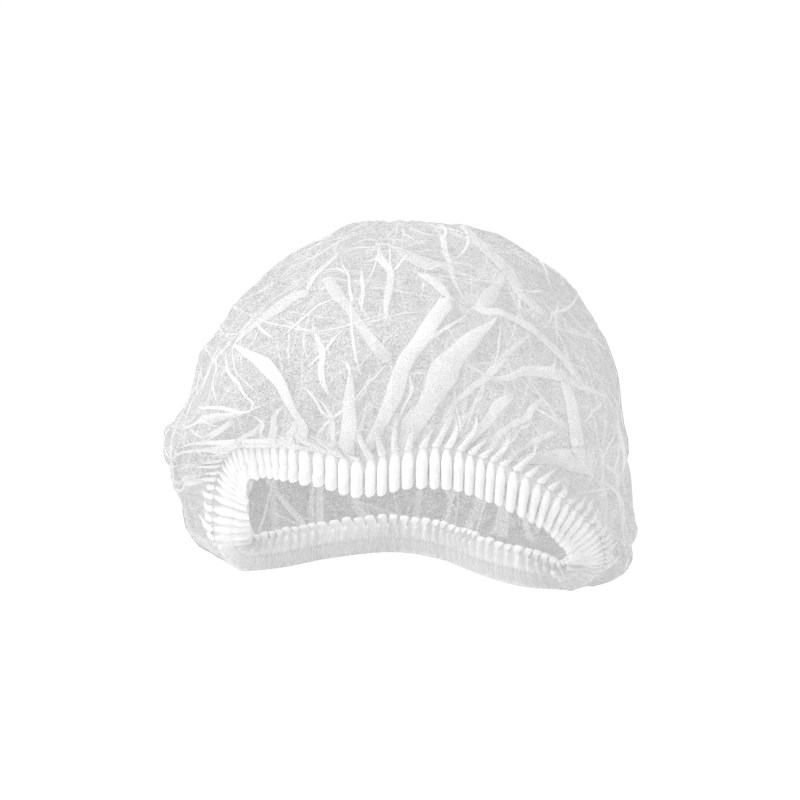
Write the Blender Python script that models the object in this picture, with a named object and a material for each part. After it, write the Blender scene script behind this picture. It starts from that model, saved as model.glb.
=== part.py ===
"""Disposable hair cover cap: a puffed fabric crown gathered into an elastic hem.

The cap lies on a table. The back half of its gathered mouth is flat on the table and the front half
is lifted, so the mouth opens forwards (-Y) and down. All lengths are in metres and +Z is up.
"""

import bpy
import numpy as np

# Overall sizes of the puffed cap as it lies
CAP_WIDTH = 0.279
CAP_DEPTH = 0.246
CAP_HEIGHT = 0.221

# The line where the crown runs into the hem
MOUTH_WIDTH = 0.236
MOUTH_DEPTH = 0.160
MOUTH_FORWARD = 0.025
LIP_LIFT = 0.108

# Fabric and hem
CROWN_WALL = 0.0012
HEM_WALL = 0.0026
HEM_WIDTH = 0.024
GATHERS = 60
GATHER_DEPTH = 0.0030
RIB_DEPTH = 0.0022
RIB_REACH = 0.075
FOLD_HEIGHT = 0.0085
FOLD_WIDTH = 0.014
FOLD_HEAD = 0.5
ROUNDNESS = 2.2

# Elastic strip that draws the hem in
ELASTIC_WIDTH = 0.0040
ELASTIC_THICKNESS = 0.0010
ELASTIC_FROM_EDGE = 0.0110

# Air between neighbouring pieces. At the seam the gathers start at a share of their depth, and
# they reach their full depth at a share of the hem's width.
CLEARANCE = 0.0003
SEAM_SLACK = 0.0002
SEAM_GATHER = 0.15
GATHER_GROWTH = 0.28

# Rough length of the fabric from hem to top, and the stretch above the seam that is smooth
MERIDIAN = CAP_HEIGHT + CAP_WIDTH / 2
SEAM_CALM = 0.030

# Mesh fineness
COLUMNS_PER_GATHER = 4
RIBS_PER_GATHER = 0.5
COLUMNS_PER_RIB = 5
CROWN_LEVELS = 14
HEM_LEVELS = (0.0, 0.3, 1.0)
ELASTIC_COLUMNS = 60

# Mouth line, from the right corner round the back, the left corner and the front. across and
# along are shares of half the mouth's width and depth, measured from its centre, and lift is a
# share of LIP_LIFT. The last three columns are the way that the hem points from there.
MOUTH = (
    # across, along, lift, hem right, hem back, hem up
    (1.00, -0.16, 0.14, -0.87, -0.25, 0.43),
    (0.86, 0.00, 0.00, -0.45, -0.40, 0.80),
    (0.62, 0.10, 0.00, -0.10, -0.10, 1.00),
    (0.42, 0.40, 0.00, -0.05, -0.10, 1.00),
    (0.22, 0.80, 0.00, 0.00, -0.15, 1.00),
    (-0.04, 1.00, 0.00, 0.00, -0.20, 1.00),
    (-0.36, 0.84, 0.00, 0.05, -0.15, 1.00),
    (-0.62, 0.58, 0.00, 0.10, -0.10, 1.00),
    (-0.84, 0.46, 0.02, 0.45, -0.10, 0.90),
    (-0.95, 0.33, 0.22, 0.90, -0.10, 0.30),
    (-0.92, 0.08, 0.61, 0.85, -0.10, -0.40),
    (-0.80, -0.26, 0.87, 0.40, 0.15, -0.90),
    (-0.60, -0.58, 0.95, 0.15, 0.25, -0.95),
    (-0.36, -0.79, 0.96, 0.05, 0.20, -1.00),
    (-0.18, -0.88, 0.92, 0.00, 0.20, -1.00),
    (0.04, -0.93, 0.98, 0.00, 0.20, -1.00),
    (0.26, -0.98, 0.98, 0.00, 0.20, -1.00),
    (0.60, -0.97, 0.83, -0.15, 0.25, -0.95),
    (0.86, -0.78, 0.60, -0.55, 0.40, -0.75),
    (0.99, -0.46, 0.36, -0.90, 0.25, -0.35),
)

# Level rings of the crown from the hem to the top. rise is a share of the cap's height and follow
# a share of the mouth line's own height, which are added, and reach is a share of half the cap's
# width or depth, measured from its axis.
SECTIONS = (
    # rise front, side, back, follow, reach right, left, front, back
    (0.085, 0.012, 0.000, 0.90, 0.945, 0.930, 0.910, 0.700),
    (0.215, 0.060, 0.000, 0.75, 0.985, 0.980, 0.985, 0.850),
    (0.360, 0.190, 0.110, 0.58, 0.990, 0.985, 1.000, 0.975),
    (0.500, 0.320, 0.275, 0.42, 0.980, 0.940, 0.980, 1.000),
    (0.640, 0.460, 0.450, 0.28, 0.945, 0.870, 0.910, 0.960),
    (0.760, 0.610, 0.620, 0.17, 0.890, 0.785, 0.780, 0.860),
    (0.870, 0.770, 0.780, 0.08, 0.780, 0.625, 0.600, 0.690),
    (0.940, 0.890, 0.900, 0.03, 0.575, 0.415, 0.390, 0.460),
    (0.983, 0.965, 0.970, 0.01, 0.300, 0.225, 0.190, 0.230),
)

# Main folds as ridges on the crown. turn is a share of a full turn round the mouth, counted from
# +X to +Y, level runs from 0 at the hem to 1 at the top, and height and width are shares of
# FOLD_HEIGHT and FOLD_WIDTH. A fold's head, where it starts, is lower by the share FOLD_HEAD.
FOLDS = (
    # turn start, level start, turn end, level end, height, width
    (0.792, 0.655, 0.718, 0.120, 1.00, 1.00),
    (0.813, 0.550, 0.754, 0.100, 0.90, 1.00),
    (0.813, 0.605, 0.888, 0.590, 0.60, 0.80),
    (0.888, 0.590, 0.891, 0.490, 0.60, 0.80),
    (0.862, 0.595, 0.797, 0.295, 0.80, 0.90),
    (0.813, 0.405, 0.924, 0.510, 0.70, 0.80),
    (0.825, 0.365, 0.802, 0.100, 1.00, 1.00),
    (0.856, 0.410, 0.822, 0.200, 0.80, 0.90),
    (0.868, 0.325, 0.840, 0.060, 0.70, 0.90),
    (0.865, 0.435, 0.878, 0.275, 0.90, 0.90),
    (0.600, 0.570, 0.690, 0.180, 1.00, 1.10),
    (0.600, 0.570, 0.678, 0.645, 0.60, 0.80),
    (0.674, 0.405, 0.702, 0.260, 0.60, 0.80),
    (0.718, 0.385, 0.700, 0.060, 0.80, 0.90),
    (0.592, 0.410, 0.666, 0.340, 0.60, 0.80),
    (0.644, 0.315, 0.664, 0.165, 0.70, 0.90),
    (0.610, 0.835, 0.726, 0.460, 0.60, 0.80),
    (0.672, 0.600, 0.708, 0.330, 0.50, 0.80),
    (0.704, 0.835, 0.872, 0.725, 0.50, 0.80),
    (0.950, 0.900, 0.810, 0.650, 0.50, 0.80),
    (0.738, 0.710, 0.738, 0.550, 0.50, 0.80),
    (0.930, 0.550, 0.960, 0.180, 0.60, 1.20),
    (0.040, 0.650, 0.070, 0.250, 0.60, 1.20),
    (0.130, 0.750, 0.150, 0.330, 0.60, 1.20),
    (0.230, 0.650, 0.250, 0.350, 0.60, 1.20),
    (0.330, 0.700, 0.350, 0.330, 0.60, 1.20),
    (0.430, 0.600, 0.440, 0.280, 0.60, 1.20),
    (0.530, 0.500, 0.550, 0.200, 0.60, 1.20),
)


def closed_spline(rows, shares):
    """Read a smooth closed curve through evenly numbered rows at the given shares of a lap."""
    rows = np.asarray(rows, float)
    count = len(rows)
    place = np.asarray(shares) % 1.0 * count
    base = np.floor(place).astype(int)
    part = (place - base)[:, None]
    before, here, after, beyond = (rows[(base + step) % count] for step in (-1, 0, 1, 2))
    slope_in = (after - before) / 2
    slope_out = (beyond - here) / 2
    lump = 2 * here - 2 * after + slope_in + slope_out
    bend = 3 * after - 3 * here - 2 * slope_in - slope_out
    return here + part * (slope_in + part * (bend + part * lump))


def unit(vectors):
    """Scale vectors to length one."""
    return vectors / np.linalg.norm(vectors, axis=-1, keepdims=True)


def mouth_line(count):
    """Return points of the mouth line at equal steps of length, and the way the hem points."""
    fine = np.linspace(0.0, 1.0, 2001)
    rows = closed_spline(MOUTH, fine)
    points = np.stack([
        rows[:, 0] * MOUTH_WIDTH / 2,
        rows[:, 1] * MOUTH_DEPTH / 2 - MOUTH_FORWARD,
        np.maximum(rows[:, 2] * LIP_LIFT, CROWN_WALL / 2),
    ], axis=1)
    steps = np.linalg.norm(np.diff(points, axis=0), axis=1)
    length = np.concatenate([[0.0], np.cumsum(steps)])
    wanted = np.arange(count) / count * length[-1]
    place = np.stack([np.interp(wanted, length, column) for column in points.T], axis=1)
    way = np.stack([np.interp(wanted, length, column) for column in rows[:, 3:].T], axis=1)
    return place, unit(way)


def hem_band(points, way, reach):
    """Return a ring of the flat hem at a reach from the mouth line, its faces and its spacing."""
    ring = points + way * reach
    along = np.roll(ring, -1, axis=0) - np.roll(ring, 1, axis=0)
    pitch = np.linalg.norm(np.roll(points, -1, axis=0) - np.roll(points, 1, axis=0), axis=1)
    tightness = np.linalg.norm(along, axis=1) / pitch
    return ring, unit(np.cross(along, way)), np.clip(tightness, 0.0, 1.0)


def crown_surface(count, level_count):
    """Return the crown's middle surface, the turn of each column and the level of each ring."""
    points, _ = mouth_line(count)
    turns = np.arctan2(points[:, 1] + MOUTH_FORWARD, points[:, 0])
    side = np.cos(turns) ** 2
    front = np.where(np.sin(turns) < 0, 1 - side, 0.0)
    back = np.where(np.sin(turns) > 0, 1 - side, 0.0)
    highest = CAP_HEIGHT - CROWN_WALL / 2
    knots = [points]
    for rise_front, rise_side, rise_back, follow, right, left, ahead, behind in SECTIONS:
        half_wide = np.where(np.cos(turns) > 0, right, left) * CAP_WIDTH / 2
        half_deep = np.where(np.sin(turns) > 0, behind, ahead) * CAP_DEPTH / 2
        reach = np.abs(np.cos(turns) / half_wide) ** ROUNDNESS
        reach += np.abs(np.sin(turns) / half_deep) ** ROUNDNESS
        reach **= -1 / ROUNDNESS
        rise = front * rise_front + side * rise_side + back * rise_back
        height = rise * highest + follow * points[:, 2]
        knots.append(np.stack([reach * np.cos(turns), reach * np.sin(turns), height], axis=1))
    knots.append(np.tile([0.0, 0.0, highest], (count, 1)))
    levels = np.linspace(0.0, 1.0, level_count + 1)
    surface = open_spline(np.array(knots), levels)
    surface[..., 2] = np.maximum(surface[..., 2], CROWN_WALL / 2)
    return surface, turns / (2 * np.pi) % 1.0, levels


def open_spline(knots, shares):
    """Read a smooth open curve through the rows of knots at the given shares of its length."""
    last = len(knots) - 1
    padded = np.concatenate([[2 * knots[0] - knots[1]], knots, [knots[-2] * [-1, -1, 1]]])
    place = np.clip(np.asarray(shares) * last, 0, last - 1e-9)
    base = np.floor(place).astype(int)
    part = (place - base)[:, None, None]
    before, here, after, beyond = (padded[base + step] for step in range(4))
    slope_in = (after - before) / 2
    slope_out = (beyond - here) / 2
    lump = 2 * here - 2 * after + slope_in + slope_out
    bend = 3 * after - 3 * here - 2 * slope_in - slope_out
    return here + part * (slope_in + part * (bend + part * lump))


def grid_normals(surface):
    """Return unit normals of a grid of rings that close round, pointing away from the axis."""
    around = np.roll(surface, -1, axis=1) - np.roll(surface, 1, axis=1)
    upward = np.gradient(surface, axis=0)
    upward[-1] = surface[-1] - surface[-2]
    return unit(np.cross(around, upward) + 1e-12)


def fold_relief(surface, turns, levels):
    """Return how far the folds make each point of the crown stand out along its normal."""
    relief = np.zeros(surface.shape[:2])
    girth = 2 * np.pi * np.linalg.norm(surface[..., :2], axis=2)
    for turn_a, level_a, turn_b, level_b, height, width in FOLDS:
        aside = ((turns - turn_a + 0.5) % 1.0 - 0.5)[None, :] * girth
        above = (levels - level_a)[:, None] * MERIDIAN
        run_aside = (turn_b - turn_a) * girth
        run_above = (level_b - level_a) * MERIDIAN
        run = (aside * run_aside + above * run_above) / (run_aside ** 2 + run_above ** 2)
        run = np.clip(run, 0.0, 1.0)
        apart = np.hypot(aside - run * run_aside, above - run * run_above)
        crest = FOLD_HEIGHT * height * (FOLD_HEAD + (1 - FOLD_HEAD) * run)
        relief = np.maximum(relief, crest * np.exp(-(apart / (FOLD_WIDTH * width)) ** 2))
    return relief


def rib_relief(count, levels):
    """Return the ribs that run up from the gathers and fade out with height."""
    ribs = round(GATHERS * RIBS_PER_GATHER)
    wave = np.cos(2 * np.pi * ribs * np.arange(count) / count)
    strength = np.exp(-levels * MERIDIAN / RIB_REACH)
    return RIB_DEPTH * strength[:, None] * wave[None, :]


def solid_from_grids(name, outer, inner, pole):
    """Make a closed wall between two grids of rings, with a pole on top or an open upper edge."""
    rings, count = outer.shape[:2]
    kept = rings - 1 if pole else rings
    points = [outer[:kept].reshape(-1, 3), inner[:kept].reshape(-1, 3)]
    if pole:
        points.append(outer[-1, :1])
        points.append(inner[-1, :1])
    start = kept * count
    faces = []
    here = np.arange(count)
    ahead = (here + 1) % count
    for ring in range(kept - 1):
        low = ring * count
        high = low + count
        faces += np.stack([low + here, low + ahead, high + ahead, high + here], axis=1).tolist()
        wall = np.stack([low + here, high + here, high + ahead, low + ahead], axis=1) + start
        faces += wall.tolist()
    faces += np.stack([here, here + start, ahead + start, ahead], axis=1).tolist()
    edge = (kept - 1) * count
    if pole:
        tip = 2 * start
        faces += np.stack([edge + here, edge + ahead, np.full(count, tip)], axis=1).tolist()
        edge += start
        faces += np.stack([edge + ahead, edge + here, np.full(count, tip + 1)], axis=1).tolist()
    else:
        rim = np.stack([edge + here, edge + ahead, edge + ahead + start, edge + here + start], axis=1)
        faces += rim.tolist()
    return mesh_object(name, np.concatenate(points), faces)


def mesh_object(name, points, faces):
    """Make a smooth shaded mesh object whose faces point out."""
    mesh = bpy.data.meshes.new(name)
    mesh.from_pydata(np.asarray(points).tolist(), [], faces)
    mesh.update()
    mesh.calc_loop_triangles()
    corners = np.array([triangle.vertices for triangle in mesh.loop_triangles])
    a, b, c = (np.asarray(points)[corners[:, k]] for k in range(3))
    if np.einsum("ij,ij->i", a, np.cross(b, c)).sum() < 0:
        mesh.flip_normals()
    mesh.shade_smooth()
    item = bpy.data.objects.new(name, mesh)
    bpy.context.scene.collection.objects.link(item)
    return item


def cloth_material(name, colour, roughness, alpha):
    """Make a plain Principled material for one piece."""
    material = bpy.data.materials.new(name)
    material.use_nodes = True
    shader = material.node_tree.nodes["Principled BSDF"]
    shader.inputs["Base Color"].default_value = (*colour, 1.0)
    shader.inputs["Roughness"].default_value = roughness
    shader.inputs["Metallic"].default_value = 0.0
    shader.inputs["Alpha"].default_value = alpha
    return material


def make_crown():
    """Make the puffed crown as one thin wall, closed at the top and open at the mouth."""
    count = round(GATHERS * RIBS_PER_GATHER) * COLUMNS_PER_RIB
    surface, turns, levels = crown_surface(count, CROWN_LEVELS)
    relief = fold_relief(surface, turns, levels) + rib_relief(count, levels)
    relief *= np.clip(levels * MERIDIAN / SEAM_CALM, 0.0, 1.0)[:, None]
    relief[-1] = relief[-1].mean()
    normals = grid_normals(surface)
    normals[-1] = (0.0, 0.0, 1.0)
    surface = surface + normals * relief[..., None]
    surface[..., 2] = np.clip(surface[..., 2], CROWN_WALL / 2, CAP_HEIGHT - CROWN_WALL / 2)
    normals = grid_normals(surface)
    normals[-1] = (0.0, 0.0, 1.0)
    outer = surface + normals * CROWN_WALL / 2
    inner = surface - normals * CROWN_WALL / 2
    outer[..., 2] = np.maximum(outer[..., 2], 0.0)
    inner[..., 2] = np.maximum(inner[..., 2], CROWN_WALL)
    return solid_from_grids("crown", outer, inner, pole=True)


def seam_step(points, way):
    """Return how far the hem starts from the mouth line so that it clears the crown's edge."""
    surface, _, _ = crown_surface(len(points), CROWN_LEVELS * 4)
    leaving = unit(surface[1] - surface[0])
    straight = np.clip(-(leaving * way).sum(axis=1), -1.0, 1.0)
    return CLEARANCE + CROWN_WALL / 2 * np.sqrt(1 - straight ** 2) + SEAM_SLACK


def make_hem():
    """Make the gathered hem as a ribbed band round the mouth."""
    count = GATHERS * COLUMNS_PER_GATHER
    points, way = mouth_line(count)
    start = seam_step(points, way)
    wave = np.cos(2 * np.pi * GATHERS * np.arange(count) / count)
    outer = []
    inner = []
    for share in HEM_LEVELS:
        reach = start + share * (HEM_WIDTH - start)
        ring, facing, tightness = hem_band(points, way, reach[:, None])
        growth = SEAM_GATHER + (1 - SEAM_GATHER) * min(1.0, share / GATHER_GROWTH)
        depth = GATHER_DEPTH * growth * tightness
        middle = ring + facing * (wave * depth)[:, None]
        outer.append(middle + facing * HEM_WALL / 2)
        inner.append(middle - facing * HEM_WALL / 2)
    outer = np.array(outer)
    inner = np.array(inner)
    outer[..., 2] = np.maximum(outer[..., 2], 0.0)
    inner[..., 2] = np.maximum(inner[..., 2], 0.0)
    return solid_from_grids("gathered_hem", outer, inner, pole=False)


def make_elastic():
    """Make the elastic strip that lies against the inner crests of the gathers."""
    points, way = mouth_line(ELASTIC_COLUMNS)
    middle = HEM_WIDTH - ELASTIC_FROM_EDGE
    near = []
    far = []
    for reach in (middle - ELASTIC_WIDTH / 2, middle + ELASTIC_WIDTH / 2):
        ring, facing, tightness = hem_band(points, way, reach)
        crest = ring + facing * (GATHER_DEPTH * tightness + HEM_WALL / 2 + CLEARANCE)[:, None]
        near.append(crest)
        far.append(crest + facing * ELASTIC_THICKNESS)
    return solid_from_grids("elastic", np.array(far), np.array(near), pole=False)


def clear_scene():
    """Remove every object that is in the scene."""
    for item in list(bpy.data.objects):
        bpy.data.objects.remove(item, do_unlink=True)


def centre_on_origin(items):
    """Move the cap so that the middle of its footprint is at the origin."""
    points = np.concatenate([[vertex.co[:] for vertex in item.data.vertices] for item in items])
    middle = (points.min(axis=0) + points.max(axis=0)) / 2
    for item in items:
        item.location = (-middle[0], -middle[1], 0.0)


def main():
    """Build the cap from its sizes."""
    clear_scene()
    crown = make_crown()
    hem = make_hem()
    elastic = make_elastic()
    crown.data.materials.append(cloth_material("crown_fabric", (0.90, 0.90, 0.91), 0.9, 0.45))
    hem.data.materials.append(cloth_material("hem_fabric", (0.95, 0.95, 0.95), 0.9, 0.9))
    elastic.data.materials.append(cloth_material("elastic_rubber", (0.93, 0.93, 0.92), 0.6, 1.0))
    centre_on_origin([crown, hem, elastic])


main()
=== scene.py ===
# %% [markdown]
# # A disposable hair cover cap
#
# The real cap is one round disc of very thin nonwoven fabric. Its rim is folded over and drawn in by
# an elastic, so that about six tenths of a metre of disc ends in a mouth that fits a head. Here the
# cap lies on a table with the back of its mouth flat and the front lifted. The fabric is so thin that
# it is seen through, and it looks white only where it lies over itself. So the lesson is about two
# things: where the fabric folds over itself, and a material that lets the layers add up.

import bpy
import numpy as np
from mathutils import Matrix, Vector


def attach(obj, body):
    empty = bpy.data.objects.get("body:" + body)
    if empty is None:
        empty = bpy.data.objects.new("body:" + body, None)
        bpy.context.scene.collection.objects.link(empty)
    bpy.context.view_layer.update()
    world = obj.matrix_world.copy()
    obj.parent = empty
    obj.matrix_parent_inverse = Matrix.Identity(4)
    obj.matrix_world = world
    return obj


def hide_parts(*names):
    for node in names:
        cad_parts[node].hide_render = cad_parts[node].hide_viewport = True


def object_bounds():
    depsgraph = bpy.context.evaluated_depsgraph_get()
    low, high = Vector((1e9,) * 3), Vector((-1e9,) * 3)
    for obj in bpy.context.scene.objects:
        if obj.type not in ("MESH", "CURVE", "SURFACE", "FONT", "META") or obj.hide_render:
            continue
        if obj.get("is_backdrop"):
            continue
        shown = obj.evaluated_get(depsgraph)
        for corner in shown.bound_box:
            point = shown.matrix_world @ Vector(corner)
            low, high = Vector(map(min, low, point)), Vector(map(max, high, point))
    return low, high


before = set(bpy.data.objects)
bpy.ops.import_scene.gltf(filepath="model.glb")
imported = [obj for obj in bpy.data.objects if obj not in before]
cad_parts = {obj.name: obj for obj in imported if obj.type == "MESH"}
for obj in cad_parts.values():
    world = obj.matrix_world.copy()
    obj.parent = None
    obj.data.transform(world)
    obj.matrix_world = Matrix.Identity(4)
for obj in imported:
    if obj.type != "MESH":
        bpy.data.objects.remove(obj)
cad_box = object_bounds()
print("CAD box in metres:", [[round(float(x), 4) for x in corner] for corner in cad_box])

# %% [markdown]
# ## Camera
#
# The photo was taken from a little above table height with a moderately long lens. The camera could
# be placed by eye, but it is easier to give it a distance, a height angle and a point that it looks at,
# because then the framing can be tuned by one number at a time.

# %% Camera
CAMERA_DISTANCE = 1.133
CAMERA_HEIGHT_DEG = 12.0
CAMERA_AIM = (0.0, 0.0, 0.112)
LENS_MM = 85.0
SENSOR_MM = 36.0
PHOTO_PIXELS = 800

camera_data = bpy.data.cameras.new("camera")
camera_data.lens = LENS_MM
camera_data.sensor_width = SENSOR_MM
camera = bpy.data.objects.new("camera", camera_data)
bpy.context.scene.collection.objects.link(camera)
bpy.context.scene.camera = camera
height_angle = np.radians(CAMERA_HEIGHT_DEG)
back_way = Vector((0.0, -np.cos(height_angle), np.sin(height_angle)))
camera.location = Vector(CAMERA_AIM) + back_way * CAMERA_DISTANCE
camera.rotation_euler = back_way.to_track_quat("Z", "Y").to_euler()
print("camera at", [round(x, 3) for x in camera.location])

# %% [markdown]
# ## Floor and light
#
# Product photos of white cloth are made on an overexposed white table, with a darker surface behind
# the fabric so that the weave shows. A plain white world would make the sheer fabric vanish. So the
# floor and the world, which are the stage and not the cap, are white where they are seen directly and
# mid grey where they are seen through fabric. Soft light comes from a large lamp at the upper left and
# from the whole surroundings.

# %% Helpers for node trees
def add_node(tree, kind, **settings):
    """Add a node of a kind and set its properties, or its sockets when the name is a socket's."""
    node = tree.nodes.new(kind)
    for name, value in settings.items():
        if hasattr(node, name):
            setattr(node, name, value)
        else:
            node.inputs[name.replace("_", " ")].default_value = value
    return node


def maths(tree, operation, first, second=None, clamp=False):
    """Add a Math node whose inputs are sockets or numbers, and return its output."""
    node = tree.nodes.new("ShaderNodeMath")
    node.operation = operation
    node.use_clamp = clamp
    for socket, value in zip(node.inputs, (first, second)):
        if value is None:
            continue
        if isinstance(value, (int, float)):
            socket.default_value = value
        else:
            tree.links.new(value, socket)
    return node.outputs[0]


# %% Floor and light
SEEN_DIRECTLY = 1.04
SEEN_THROUGH_FABRIC = 0.31
FILL_LIGHT = 0.90
KEY_WATTS = 9.5
LAMP_SIZE = 0.9
LAMP_PLACE = (-0.75, -0.55, 0.95)
FLOOR_REACH = 3.0
FLOOR_GLOW_SHARE = 0.9
FLOOR_COLOUR = (0.92, 0.92, 0.92, 1.0)
WHITE = (1.0, 1.0, 1.0, 1.0)


def stage_brightness(tree, otherwise):
    """Return how bright the stage is.

    For the camera it is SEEN_DIRECTLY, plus the step to SEEN_THROUGH_FABRIC where the sight line has
    gone through fabric. For all other light it is the value given.
    """
    path = tree.nodes.new("ShaderNodeLightPath")
    through = maths(tree, "GREATER_THAN", path.outputs["Transparent Depth"], 0.5)
    seen = maths(tree, "MULTIPLY", through, SEEN_THROUGH_FABRIC - SEEN_DIRECTLY)
    seen = maths(tree, "ADD", seen, SEEN_DIRECTLY)
    change = maths(tree, "SUBTRACT", seen, otherwise)
    change = maths(tree, "MULTIPLY", change, path.outputs["Is Camera Ray"])
    return maths(tree, "ADD", change, otherwise)


world = bpy.data.worlds.new("studio")
world.use_nodes = True
bpy.context.scene.world = world
world_tree = world.node_tree
background = world_tree.nodes["Background"]
background.inputs["Color"].default_value = WHITE
world_tree.links.new(stage_brightness(world_tree, FILL_LIGHT), background.inputs["Strength"])

floor_mesh = bpy.data.meshes.new("floor")
floor_corners = [(x * FLOOR_REACH, y * FLOOR_REACH, 0.0) for x, y in ((-1, -1), (1, -1), (1, 1), (-1, 1))]
floor_mesh.from_pydata(floor_corners, [], [(0, 1, 2, 3)])
floor = bpy.data.objects.new("floor", floor_mesh)
bpy.context.scene.collection.objects.link(floor)
floor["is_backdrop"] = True

floor_paint = bpy.data.materials.new("floor_paint")
floor_paint.use_nodes = True
floor_tree = floor_paint.node_tree
floor_tree.nodes.clear()
diffuse = add_node(floor_tree, "ShaderNodeBsdfDiffuse", Color=FLOOR_COLOUR)
glow = add_node(floor_tree, "ShaderNodeEmission", Color=WHITE)
floor_tree.links.new(stage_brightness(floor_tree, 0.0), glow.inputs["Strength"])
path = floor_tree.nodes.new("ShaderNodeLightPath")
blend = floor_tree.nodes.new("ShaderNodeMixShader")
glow_share = maths(floor_tree, "MULTIPLY", path.outputs["Is Camera Ray"], FLOOR_GLOW_SHARE)
floor_tree.links.new(glow_share, blend.inputs[0])
floor_tree.links.new(diffuse.outputs[0], blend.inputs[1])
floor_tree.links.new(glow.outputs[0], blend.inputs[2])
ending = floor_tree.nodes.new("ShaderNodeOutputMaterial")
floor_tree.links.new(blend.outputs[0], ending.inputs["Surface"])
floor_mesh.materials.append(floor_paint)

lamp_data = bpy.data.lights.new("soft_lamp", "AREA")
lamp_data.energy = KEY_WATTS
lamp_data.size = LAMP_SIZE
lamp = bpy.data.objects.new("soft_lamp", lamp_data)
bpy.context.scene.collection.objects.link(lamp)
lamp.location = LAMP_PLACE
lamp_way = Vector(lamp.location) - Vector(CAMERA_AIM)
lamp.rotation_euler = lamp_way.to_track_quat("Z", "Y").to_euler()
bpy.context.scene.view_settings.view_transform = "Standard"
print("floor and light made")

# %% [markdown]
# ## The line of the mouth
#
# Everything hangs on one closed line: where the crown runs into the gathered hem. The solids of the
# CAD model follow the same line, so its sizes and its table are repeated here. A smooth curve goes
# through a few rows of shares, and a share times a size gives the place.

# %% Sizes and the mouth line
CAP_WIDTH = 0.279
CAP_DEPTH = 0.246
CAP_HEIGHT = 0.221
MOUTH_WIDTH = 0.236
MOUTH_DEPTH = 0.160
MOUTH_FORWARD = 0.025
LIP_LIFT = 0.108
WALL = 0.0012
ROUNDNESS = 2.2
HEM_WIDTH = 0.024
FOOTPRINT_SHIFT = np.array([-0.0004, 0.0007, 0.0])
MM_PER_METRE = 1000
ABOVE_FLOOR = 0.0004
LINE_STEPS = 2001
LENGTH_POINTS = 960

MOUTH = (
    # across, along, lift, hem right, hem back, hem up
    (1.00, -0.16, 0.14, -0.87, -0.25, 0.43),
    (0.86, 0.00, 0.00, -0.45, -0.40, 0.80),
    (0.62, 0.10, 0.00, -0.10, -0.10, 1.00),
    (0.42, 0.40, 0.00, -0.05, -0.10, 1.00),
    (0.22, 0.80, 0.00, 0.00, -0.15, 1.00),
    (-0.04, 1.00, 0.00, 0.00, -0.20, 1.00),
    (-0.36, 0.84, 0.00, 0.05, -0.15, 1.00),
    (-0.62, 0.58, 0.00, 0.10, -0.10, 1.00),
    (-0.84, 0.46, 0.02, 0.45, -0.10, 0.90),
    (-0.95, 0.33, 0.22, 0.90, -0.10, 0.30),
    (-0.92, 0.08, 0.61, 0.85, -0.10, -0.40),
    (-0.80, -0.26, 0.87, 0.40, 0.15, -0.90),
    (-0.60, -0.58, 0.95, 0.15, 0.25, -0.95),
    (-0.36, -0.79, 0.96, 0.05, 0.20, -1.00),
    (-0.18, -0.88, 0.92, 0.00, 0.20, -1.00),
    (0.04, -0.93, 0.98, 0.00, 0.20, -1.00),
    (0.26, -0.98, 0.98, 0.00, 0.20, -1.00),
    (0.60, -0.97, 0.83, -0.15, 0.25, -0.95),
    (0.86, -0.78, 0.60, -0.55, 0.40, -0.75),
    (0.99, -0.46, 0.36, -0.90, 0.25, -0.35),
)


def cubic(before, here, after, beyond, part):
    """Go a part of the way from here to after on a cubic.

    Its slope at each of the two is half the step between the neighbours on both sides of it.
    """
    slope_in = (after - before) / 2
    slope_out = (beyond - here) / 2
    lump = 2 * here - 2 * after + slope_in + slope_out
    bend = 3 * after - 3 * here - 2 * slope_in - slope_out
    return here + part * (slope_in + part * (bend + part * lump))


def closed_spline(rows, shares):
    """Read a smooth closed curve through evenly numbered rows: a cubic between each two rows."""
    rows = np.asarray(rows, float)
    count = len(rows)
    place = np.asarray(shares) % 1.0 * count
    base = np.floor(place).astype(int)
    part = (place - base)[:, None]
    return cubic(*(rows[(base + step) % count] for step in (-1, 0, 1, 2)), part)


def unit(vectors):
    """Divide each vector by its length."""
    return vectors / np.maximum(np.linalg.norm(vectors, axis=-1, keepdims=True), 1e-12)


def mouth_line(count):
    """Return points of the mouth line at equal steps of length, the way the hem points, and the length.

    The spline is read at many steps, the steps' lengths are added up, and each wanted length is
    looked up in that sum.
    """
    fine = np.linspace(0.0, 1.0, LINE_STEPS)
    rows = closed_spline(MOUTH, fine)
    points = np.stack([
        rows[:, 0] * MOUTH_WIDTH / 2,
        rows[:, 1] * MOUTH_DEPTH / 2 - MOUTH_FORWARD,
        np.maximum(rows[:, 2] * LIP_LIFT, WALL / 2),
    ], axis=1)
    steps = np.linalg.norm(np.diff(points, axis=0), axis=1)
    length = np.concatenate([[0.0], np.cumsum(steps)])
    wanted = np.arange(count) / count * length[-1]
    place = np.stack([np.interp(wanted, length, column) for column in points.T], axis=1)
    way = np.stack([np.interp(wanted, length, column) for column in rows[:, 3:].T], axis=1)
    return place, unit(way), length[-1]


def hem_ring(points, way, reach):
    """Step from the mouth line by a reach. Return the ring, the way along it and its side way."""
    ring = points + way * reach
    along = np.roll(ring, -1, axis=-2) - np.roll(ring, 1, axis=-2)
    return ring, unit(along), unit(np.cross(along, way))


mouth_length = mouth_line(LENGTH_POINTS)[2]
print("the mouth line is", round(mouth_length * MM_PER_METRE), "mm long")

# %% [markdown]
# ## The plain dome
#
# The puffed crown has no simple formula, but it can be read from sections: rings at chosen heights,
# each a rounded oval with its own reach to the front, the back and the sides. A smooth curve through
# the rings gives the dome without any fold. It is a function of two parameters: the share of the way
# round the mouth, and the level from the hem to the top.
#
# The table is the one of the CAD model with one more column. It lifts the rings in front and draws
# them back a little, because in the photo the fabric rises straight out of the gathers there.

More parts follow.
